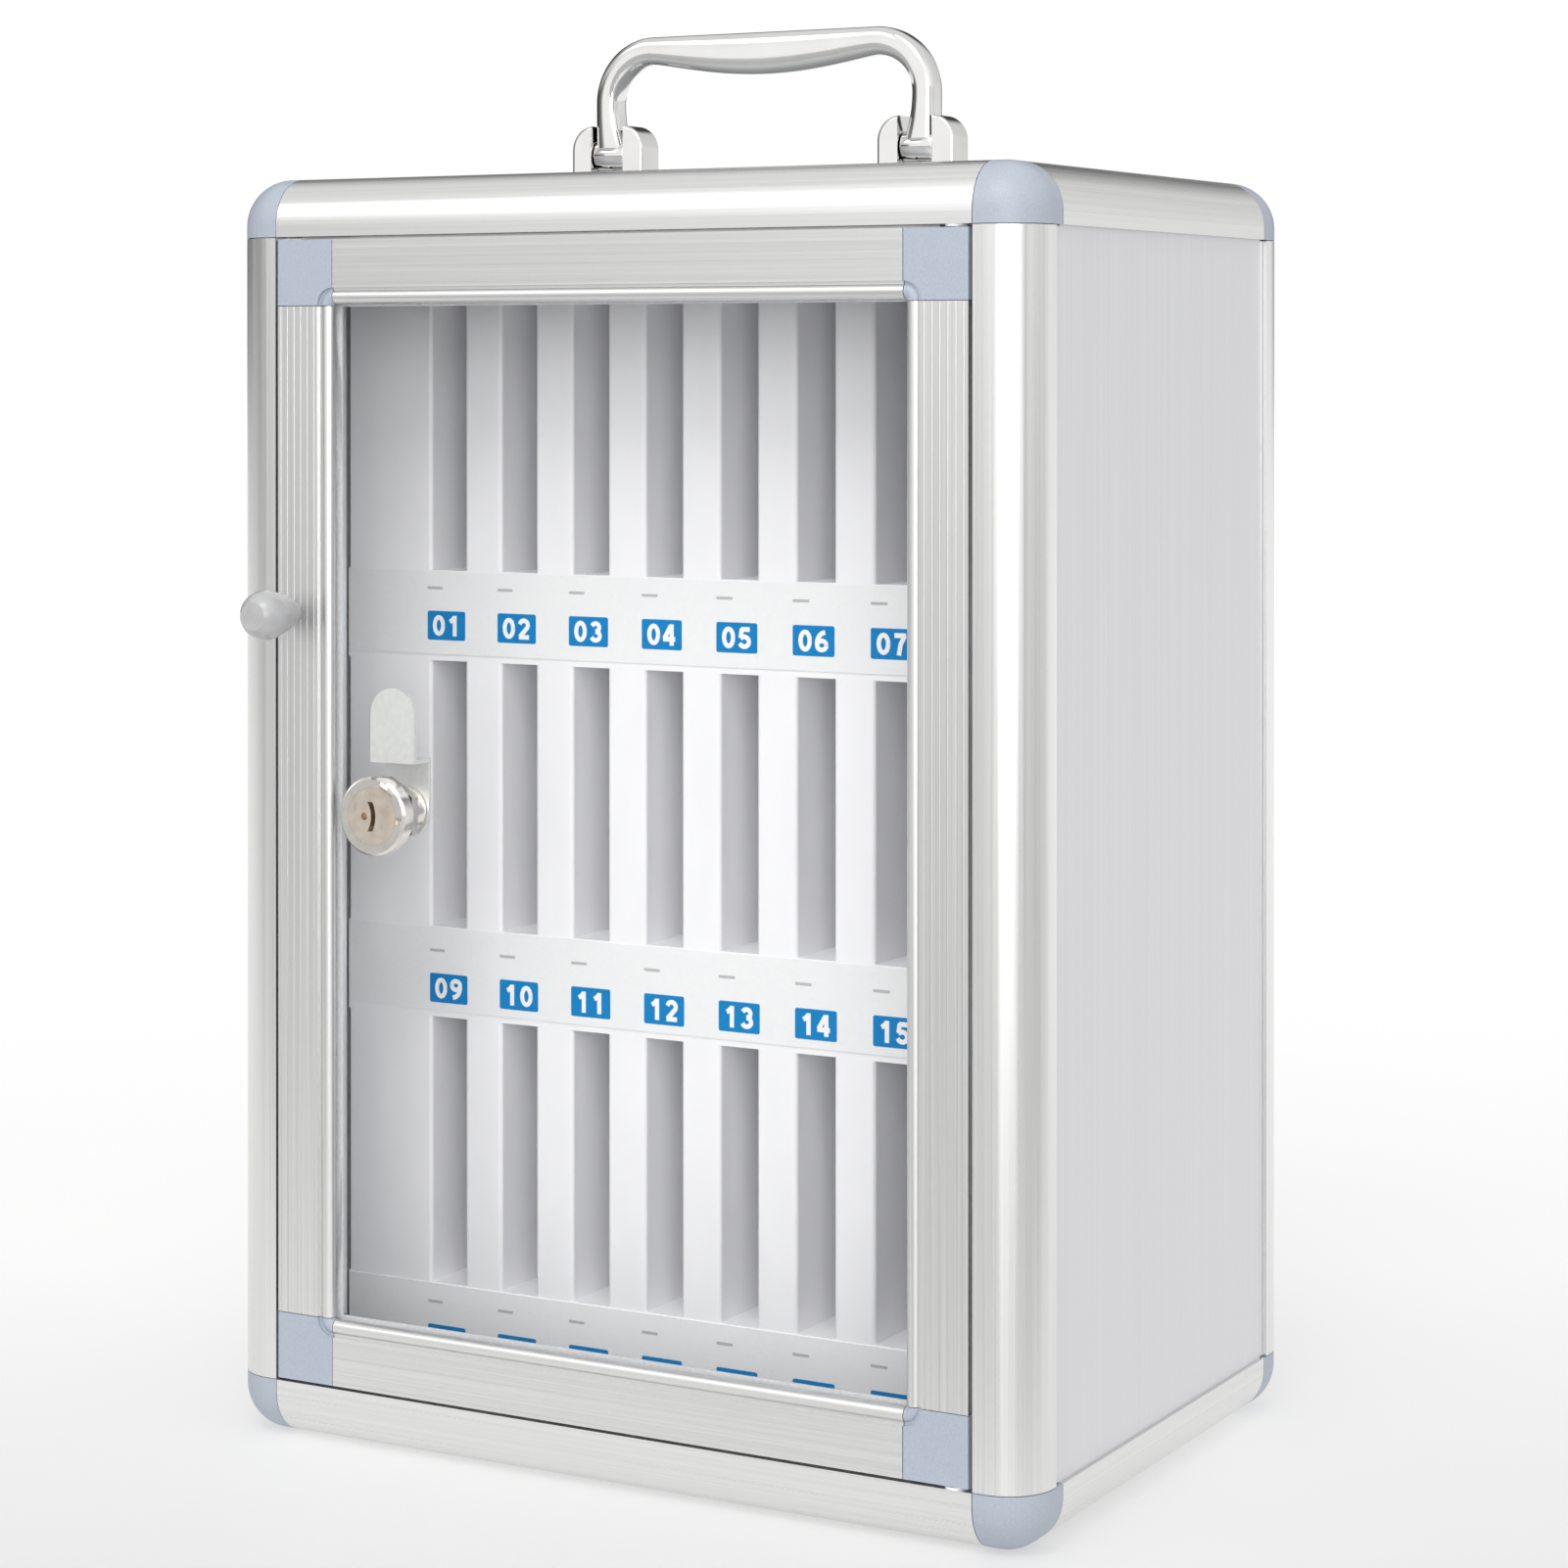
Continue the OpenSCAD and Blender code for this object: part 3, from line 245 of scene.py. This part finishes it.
# The strokes of each digit along their middle lines, in a box DIGIT_BOX_W wide and 1 high
SIX = [arc(0.33, 0.31, 0.21, 0.21, 0, 360, 14), arc(0.50, 0.40, 0.38, 0.50, 92, 192, 8)]
DIGIT_STROKES = {
    "0": [arc(0.33, 0.50, 0.21, 0.40, 0, 360, 16)],
    "1": [[(0.14, 0.70), (0.25, 0.77), (0.36, 0.90)], [(0.38, 1.0), (0.38, 0.0)]],
    "2": [arc(0.32, 0.68, 0.20, 0.22, 170, -30, 8) + [(0.12, 0.11)], [(0.08, 0.10), (0.57, 0.10)]],
    "3": [arc(0.31, 0.71, 0.18, 0.19, 160, -90, 9), arc(0.31, 0.31, 0.21, 0.21, 90, -160, 9)],
    "4": [[(0.43, 0.0), (0.43, 1.0)], [(0.39, 0.93), (0.08, 0.32)], [(0.03, 0.30), (0.60, 0.30)]],
    "5": [[(0.56, 0.90), (0.17, 0.90)], [(0.20, 0.93), (0.14, 0.50)],
          arc(0.31, 0.33, 0.22, 0.23, 140, -160, 11)],
    "6": SIX,
    "7": [[(0.07, 0.90), (0.58, 0.90)], [(0.53, 0.90), (0.34, 0.50), (0.26, 0.0)]],
    "8": [arc(0.33, 0.72, 0.17, 0.18, 0, 360, 14), arc(0.33, 0.31, 0.21, 0.21, 0, 360, 14)],
    "9": [[(DIGIT_BOX_W - x, 1 - y) for x, y in stroke] for stroke in SIX],
}


def add_stroke(shape, line, face_y):
    """A flat ribbon of ink that follows a line, square at its ends."""
    rings = []
    for i, (x, z) in enumerate(line):
        before, after = line[max(i - 1, 0)], line[min(i + 1, len(line) - 1)]
        run = Vector((after[0] - before[0], after[1] - before[1])).normalized() * STROKE / 2
        rings.append([shape.verts.new((x + side * run.y, y, z - side * run.x))
                      for side, y in ((-1, face_y - INK), (1, face_y - INK), (1, face_y), (-1, face_y))])
    for a, b in zip(rings, rings[1:]):
        for i in range(4):
            j = (i + 1) % 4
            shape.faces.new([a[i], a[j], b[j], b[i]])
    shape.faces.new(rings[0][::-1])
    shape.faces.new(rings[-1])


def add_number(shape, text, x, z, face_y):
    left = x - (DIGIT_STEP * (len(text) - 1) + DIGIT_BOX_W * DIGIT_H * DIGIT_WIDEN) / 2
    for place, digit in enumerate(text):
        for layer, stroke in enumerate(DIGIT_STROKES[digit]):
            line = [(left + place * DIGIT_STEP + u * DIGIT_H * DIGIT_WIDEN, z + (v - 0.5) * DIGIT_H)
                    for u, v in stroke]
            add_stroke(shape, line, face_y - layer * INK / LAYERS_IN_INK)


for row in (1, 2, 3):
    low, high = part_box(f"label_strip_{row}")
    squares, digits, dashes = bmesh.new(), bmesh.new(), bmesh.new()
    for column in range(SLOTS_IN_ROW):
        x = (column + 0.5 - SLOTS_IN_ROW / 2) * SLOT_PITCH + SQUARE_SHIFT + PRINT_SHIFT[row][0]
        square_z = high[2] - SQUARE_DROP - PRINT_SHIFT[row][1]
        add_plate(squares, x, square_z, SQUARE_W, SQUARE_H, low[1], SQUARE_EASE)
        add_number(digits, f"{(row - 1) * SLOTS_IN_ROW + column + 1:02d}", x, square_z, low[1] - INK)
        dash_z = high[2] - DASH_DROP - PRINT_SHIFT[row][1]
        add_plate(dashes, x - (SQUARE_W - DASH_W) / 2, dash_z, DASH_W, DASH_H, low[1], DASH_EASE)
    finish_piece(f"number_squares_{row}", squares, blue_ink, "case")
    finish_piece(f"number_digits_{row}", digits, white_ink, "case")
    finish_piece(f"number_dashes_{row}", dashes, grey_ink, "case")

# Handle. A plated zinc casting, swollen in the middle for the palm, that turns on
# steel pins between the ears of two brackets screwed down through the top panel.
# The bail is one bar of rounded section, and its legs flare out into the barrels.
BAIL_CORNER = 0.0255
BAIL_DEPTH = 0.0116
BAIL_TOP = 0.0110
GRIP_SWELL = 0.0054
GRIP_FALL = 1.3
LEG_TOP = 0.0097
LEG_BARREL = 0.0136
BARREL_R = 0.0060
BARREL_STANDS_OUT = 0.00015
BARREL_EASE = 0.0005
BARREL_POINTS = 48
LEG_FOOT = 0.0014
SECTION_POINTS = 36
SECTION_SOFTNESS = 0.62
LEG_STEPS = 12
BEND_STEPS = 24
GRIP_STEPS = 16

chrome, tree, skin = new_finish("plated_chrome", (0.78, 0.77, 0.76), 0.10, 1.0)
haze = grain(tree, (60, 60, 60), 4.0)
vary_colour(tree, skin, haze, (0.74, 0.73, 0.72), (0.80, 0.80, 0.79))
vary_roughness(tree, skin, haze, 0.05, 0.10)
raise_grain(tree, skin, haze, 0.00003, 0.25)
dress(chrome, "handle_bracket_left", "handle_bracket_right")


def bail_stations(half_w, top):
    """The outer line of the right half, as (x, z, turn of the outward side, thickness)."""
    side, high = half_w - BAIL_CORNER, top - BAIL_CORNER
    stations = []
    for i in range(LEG_STEPS + 1):
        t = i / LEG_STEPS
        thick = LEG_TOP + (LEG_BARREL - LEG_TOP) * (1 - t) ** 2
        stations.append((half_w, LEG_FOOT + (high - LEG_FOOT) * t, 0.0, thick))
    for i in range(1, BEND_STEPS + 1):
        t = i / BEND_STEPS
        turn = math.pi / 2 * t
        thick = LEG_TOP + (BAIL_TOP - LEG_TOP) * (1 - math.cos(math.pi * t)) / 2
        stations.append((side + BAIL_CORNER * math.cos(turn),
                         high + BAIL_CORNER * math.sin(turn), turn, thick))
    for i in range(1, GRIP_STEPS + 1):
        x = side * (1 - i / GRIP_STEPS)
        thick = BAIL_TOP + GRIP_SWELL * max(0.0, 1 - (x / side) ** 2) ** GRIP_FALL
        stations.append((x, top, math.pi / 2, thick))
    return stations


def soft_wave(value):
    return math.copysign(abs(value) ** SECTION_SOFTNESS, value)


def loft(shape, rings):
    """Joins rings of points into a smooth closed skin with flat ends."""
    made = [[shape.verts.new(point) for point in ring] for ring in rings]
    count = len(made[0])
    for a, b in zip(made, made[1:]):
        for i in range(count):
            j = (i + 1) % count
            shape.faces.new([a[i], b[i], b[j], a[j]]).smooth = True
    shape.faces.new(made[0])
    shape.faces.new(made[-1][::-1])


bail_low, bail_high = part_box("handle_bail")
pin_height = bail_low[2] + BARREL_R
half = bail_stations(bail_high[0] - BARREL_STANDS_OUT, bail_high[2] - pin_height)
line = half + [(-x, z, math.pi - turn, thick) for x, z, turn, thick in half[-2::-1]]
bail = bmesh.new()
rings = []
for x, z, turn, thick in line:
    ring = []
    for i in range(SECTION_POINTS):
        angle = 2 * math.pi * i / SECTION_POINTS
        out = (soft_wave(math.cos(angle)) - 1) * thick / 2
        ring.append((x + out * math.cos(turn), soft_wave(math.sin(angle)) * BAIL_DEPTH / 2,
                     pin_height + z + out * math.sin(turn)))
    rings.append(ring)
loft(bail, rings)

for side in (-1, 1):
    middle = side * (bail_high[0] - BARREL_STANDS_OUT - LEG_BARREL / 2)
    half_l = LEG_BARREL / 2 + BARREL_STANDS_OUT
    end = [(half_l, BARREL_R - BARREL_EASE),
           (half_l - BARREL_EASE / 3, BARREL_R - BARREL_EASE / 3),
           (half_l - BARREL_EASE, BARREL_R)]
    barrel = []
    for along, radius in [(-along, radius) for along, radius in end] + end[::-1]:
        turns = [2 * math.pi * i / BARREL_POINTS for i in range(BARREL_POINTS)]
        barrel.append([(middle + along, radius * math.cos(t), pin_height + radius * math.sin(t))
                       for t in turns])
    loft(bail, barrel)

bail_piece = finish_piece("bail", bail, chrome, "handle")
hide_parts("handle_bail")

zinc, tree, skin = new_finish("plated_zinc", (0.60, 0.61, 0.62), 0.32, 1.0)
tumble = grain(tree, (500, 500, 500), 4.0)
vary_colour(tree, skin, tumble, (0.52, 0.53, 0.54), (0.66, 0.67, 0.68))
vary_roughness(tree, skin, tumble, 0.26, 0.42)
raise_grain(tree, skin, tumble, 0.00002, 0.4)
dress(zinc, "handle_pins", "bracket_screws")

# Door frame. Four fluted aluminium sections with a half-round inner bead, joined
# by square grey blocks at the corners, whose tenons are pushed into the sections.
def door_metal(name, per_metre):
    finish, tree, skin = new_finish(name, (0.75, 0.75, 0.745), 0.34, 1.0)
    lines = grain(tree, per_metre)
    vary_colour(tree, skin, lines, (0.70, 0.70, 0.695), (0.79, 0.79, 0.785))
    vary_roughness(tree, skin, lines, 0.30, 0.42)
    raise_grain(tree, skin, lines, 0.00001, 0.4)
    return finish


dress(door_metal("door_metal_upright", (1100, 1100, 3)), "door_stile_left", "door_stile_right")
dress(door_metal("door_metal_across", (3, 1100, 1100)), "door_rail_top", "door_rail_bottom")

block_finish, tree, skin = new_finish("block_plastic", (0.37, 0.41, 0.48), 0.40)
specks = grain(tree, (1400, 1400, 1400), 2.0)
vary_colour(tree, skin, specks, (0.34, 0.38, 0.45), (0.40, 0.44, 0.51))
vary_roughness(tree, skin, specks, 0.36, 0.46)
raise_grain(tree, skin, specks, 0.00003, 0.35)
dress(block_finish, *[f"door_corner_{side}_{level}" for side in ("left", "right")
                      for level in ("top", "bottom")])

# Pane and gasket. A clear sheet slid into the door's groove, with a light grey
# strip pressed in behind it. The lock's barrel goes through a hole in the sheet.
pane_finish, tree, skin = new_finish("clear_pane", (0.10, 0.12, 0.13), 0.04)
skin.inputs["Alpha"].default_value = 0.03
skin.inputs["IOR"].default_value = 1.50
film = grain(tree, (9, 9, 9), 3.0)
vary_roughness(tree, skin, film, 0.02, 0.06)
dress(pane_finish, "door_pane")

rubber, tree, skin = new_finish("gasket_rubber", (0.74, 0.75, 0.76), 0.6)
bloom = grain(tree, (600, 600, 600), 3.0)
vary_colour(tree, skin, bloom, (0.70, 0.71, 0.72), (0.78, 0.79, 0.80))
raise_grain(tree, skin, bloom, 0.00002, 0.4)
dress(rubber, "door_gasket")

# Knob. A moulded drop of clear smoky plastic on the door's left stile, held by a
# zinc-plated screw that comes through the stile from behind.
knob_finish, tree, skin = new_finish("smoky_plastic", (0.60, 0.60, 0.61), 0.10)
skin.inputs["Transmission Weight"].default_value = 0.35
skin.inputs["IOR"].default_value = 1.49
cloud = grain(tree, (120, 120, 120), 3.0)
vary_colour(tree, skin, cloud, (0.55, 0.55, 0.56), (0.66, 0.66, 0.67))
vary_roughness(tree, skin, cloud, 0.06, 0.16)
dress(knob_finish, "door_knob")
dress(zinc, "knob_screw")

# Hinge. Steel pins fixed in the door's right-hand blocks turn in two flanged white
# bushes that sit in holes in the top and bottom rails.
dress(zinc, "pivot_pins")
dress(rack_white, "pivot_bushes")

# Lock. A nickel-plated cam lock through the pane, held by a nut behind it. The
# plug's face is turned in a lathe, and the steel cam behind is zinc plated.
def plated_nickel(name, dark, light, smooth, rough):
    finish, tree, skin = new_finish(name, dark, smooth, 1.0)
    polish = grain(tree, (300, 300, 300), 4.0)
    vary_colour(tree, skin, polish, dark, light)
    vary_roughness(tree, skin, polish, smooth, rough)
    raise_grain(tree, skin, polish, 0.00002, 0.4)
    return finish


dress(plated_nickel("bright_nickel", (0.80, 0.77, 0.73), (0.88, 0.85, 0.81), 0.10, 0.20),
      "lock_housing", "lock_nut")
dress(plated_nickel("turned_nickel", (0.72, 0.63, 0.53), (0.80, 0.71, 0.61), 0.26, 0.38),
      "lock_plug")
dress(zinc, "cam_screw")

bright_zinc, tree, skin = new_finish("bright_zinc", (0.82, 0.83, 0.81), 0.42, 0.6)
tumble = grain(tree, (400, 400, 400), 4.0)
vary_colour(tree, skin, tumble, (0.79, 0.80, 0.78), (0.86, 0.87, 0.85))
vary_roughness(tree, skin, tumble, 0.38, 0.48)
raise_grain(tree, skin, tumble, 0.00001, 0.3)
dress(bright_zinc, "lock_cam")

# Studio. A pale table lit from below, brightest towards the back, a room with brighter
# and darker sides, soft lights, and the camera where the photographer stood.
FLOOR_HALF = 30.0
LOOK = (-0.486, 0.874, 0.0)
GLOW_FROM, GLOW_TO = -2.0, 2.0
GLOW_STOPS = [(0.0, 0.24), (0.32, 0.17), (0.41, 0.20), (0.455, 0.46), (0.56, 0.62), (0.90, 0.74)]


def brightness_steps(tree, source, low, high, stops):
    span = tree.nodes.new("ShaderNodeMapRange")
    span.inputs["From Min"].default_value = low
    span.inputs["From Max"].default_value = high
    ramp = tree.nodes.new("ShaderNodeValToRGB")
    while len(ramp.color_ramp.elements) < len(stops):
        ramp.color_ramp.elements.new(0.5)
    for element, (position, _) in zip(ramp.color_ramp.elements, stops):
        element.position = position
    for element, (_, value) in zip(ramp.color_ramp.elements, stops):
        element.color = (value, value, value, 1.0)
    tree.links.new(source, span.inputs["Value"])
    tree.links.new(span.outputs["Result"], ramp.inputs["Fac"])
    return ramp.outputs["Color"]


floor_shape = bmesh.new()
floor_corners = [floor_shape.verts.new((x * FLOOR_HALF, y * FLOOR_HALF, 0.0))
                 for x, y in [(-1, -1), (1, -1), (1, 1), (-1, 1)]]
floor_shape.faces.new(floor_corners)
floor_mesh = bpy.data.meshes.new("floor")
floor_shape.to_mesh(floor_mesh)
floor_shape.free()
floor_finish, tree, skin = new_finish("pale_floor", (0.35, 0.35, 0.35), 0.6)
vary_roughness(tree, skin, grain(tree, (8, 8, 8), 4.0), 0.55, 0.7)
place = tree.nodes.new("ShaderNodeTexCoord")
along = tree.nodes.new("ShaderNodeVectorMath")
along.operation = "DOT_PRODUCT"
along.inputs[1].default_value = LOOK
tree.links.new(place.outputs["Object"], along.inputs[0])
tree.links.new(brightness_steps(tree, along.outputs["Value"], GLOW_FROM, GLOW_TO, GLOW_STOPS),
               skin.inputs["Emission Color"])
skin.inputs["Emission Strength"].default_value = 1.0
floor_mesh.materials.append(floor_finish)
floor = bpy.data.objects.new("floor", floor_mesh)
bpy.context.scene.collection.objects.link(floor)

# Brightness of the room by compass turn, from the left round by the front, the right
# and the back: low down, and higher up, where it is dark at the back left. Overhead
# the light is even.
LOW_ROUND = [(0.00, 0.06), (0.07, 0.08), (0.135, 0.25), (0.15, 1.10), (0.25, 1.15), (0.275, 1.55),
             (0.40, 1.55), (0.415, 0.10), (0.435, 0.10), (0.45, 1.10), (0.56, 0.75), (0.64, 0.90),
             (0.71, 0.80), (0.75, 0.06), (0.775, 0.06), (0.79, 1.00), (0.87, 1.00), (0.885, 0.04),
             (0.95, 0.04)]
HIGH_ROUND = [(0.00, 0.20), (0.07, 0.40), (0.15, 1.05), (0.40, 1.25), (0.50, 1.00), (0.62, 0.85),
              (0.74, 0.70), (0.78, 0.06), (0.92, 0.06)]
LOW_TO_HIGH = [(0.0, 0.0), (0.57, 0.0), (0.60, 1.0), (1.0, 1.0)]
HIGH_TO_TOP = [(0.0, 0.0), (0.76, 0.0), (0.88, 1.0), (1.0, 1.0)]
OVERHEAD = 0.85

world = bpy.data.worlds.new("studio")
world.use_nodes = True
room = world.node_tree

looking = room.nodes.new("ShaderNodeTexCoord")
parts = room.nodes.new("ShaderNodeSeparateXYZ")
compass = room.nodes.new("ShaderNodeMath")
compass.operation = "ARCTAN2"
sides = room.nodes.new("ShaderNodeMixRGB")
sky = room.nodes.new("ShaderNodeMixRGB")
sky.inputs["Color2"].default_value = (OVERHEAD, OVERHEAD, OVERHEAD, 1.0)
room.links.new(looking.outputs["Generated"], parts.inputs["Vector"])
room.links.new(parts.outputs["Y"], compass.inputs[0])
room.links.new(parts.outputs["X"], compass.inputs[1])
turn, rise = compass.outputs["Value"], parts.outputs["Z"]
room.links.new(brightness_steps(room, turn, -math.pi, math.pi, LOW_ROUND), sides.inputs["Color1"])
room.links.new(brightness_steps(room, turn, -math.pi, math.pi, HIGH_ROUND), sides.inputs["Color2"])
room.links.new(brightness_steps(room, rise, -1.0, 1.0, LOW_TO_HIGH), sides.inputs["Fac"])
room.links.new(sides.outputs["Color"], sky.inputs["Color1"])
room.links.new(brightness_steps(room, rise, -1.0, 1.0, HIGH_TO_TOP), sky.inputs["Fac"])
room.links.new(sky.outputs["Color"], room.nodes["Background"].inputs["Color"])
bpy.context.scene.world = world


def soft_light(name, position, aim, size, power, colour):
    data = bpy.data.lights.new(name, "AREA")
    data.shape = "RECTANGLE"
    data.size, data.size_y = size
    data.energy = power
    data.color = colour
    lamp = bpy.data.objects.new(name, data)
    lamp.location = position
    lamp.rotation_euler = (Vector(aim) - Vector(position)).to_track_quat("-Z", "Y").to_euler()
    bpy.context.scene.collection.objects.link(lamp)


soft_light("key", (0.25, -1.0, 1.45), (0, 0, 0.3), (0.7, 0.7), 7, (1.0, 0.99, 0.97))
soft_light("front", (0.9, -1.5, 0.6), (-0.05, 0, 0.3), (0.9, 0.9), 7.3, (1.0, 1.0, 1.0))
soft_light("rim", (-1.3, -1.8, 1.8), (0, 0, 0.4), (1.3, 0.9), 5, (1.0, 1.0, 1.0))

# The camera as it was solved from the photograph, at the size the case is taken to have
LENS_MM = 85.63
SENSOR_MM = 36.0
LENS_SHIFT = -0.2582
CAMERA_PLACE = (0.7109, -1.2641, 0.4098)
CAMERA_TURN = 29.07
CAMERA_DIP = 0.254

camera_data = bpy.data.cameras.new("camera")
camera_data.lens = LENS_MM
camera_data.sensor_width = SENSOR_MM
camera_data.shift_y = LENS_SHIFT
camera = bpy.data.objects.new("camera", camera_data)
camera.matrix_world = (
    Matrix.Translation(CAMERA_PLACE)
    @ Matrix.Rotation(math.radians(CAMERA_TURN), 4, "Z")
    @ Matrix.Rotation(math.radians(90 - CAMERA_DIP), 4, "X")
)
bpy.context.scene.collection.objects.link(camera)
bpy.context.scene.camera = camera
bpy.context.scene.view_settings.view_transform = "Standard"
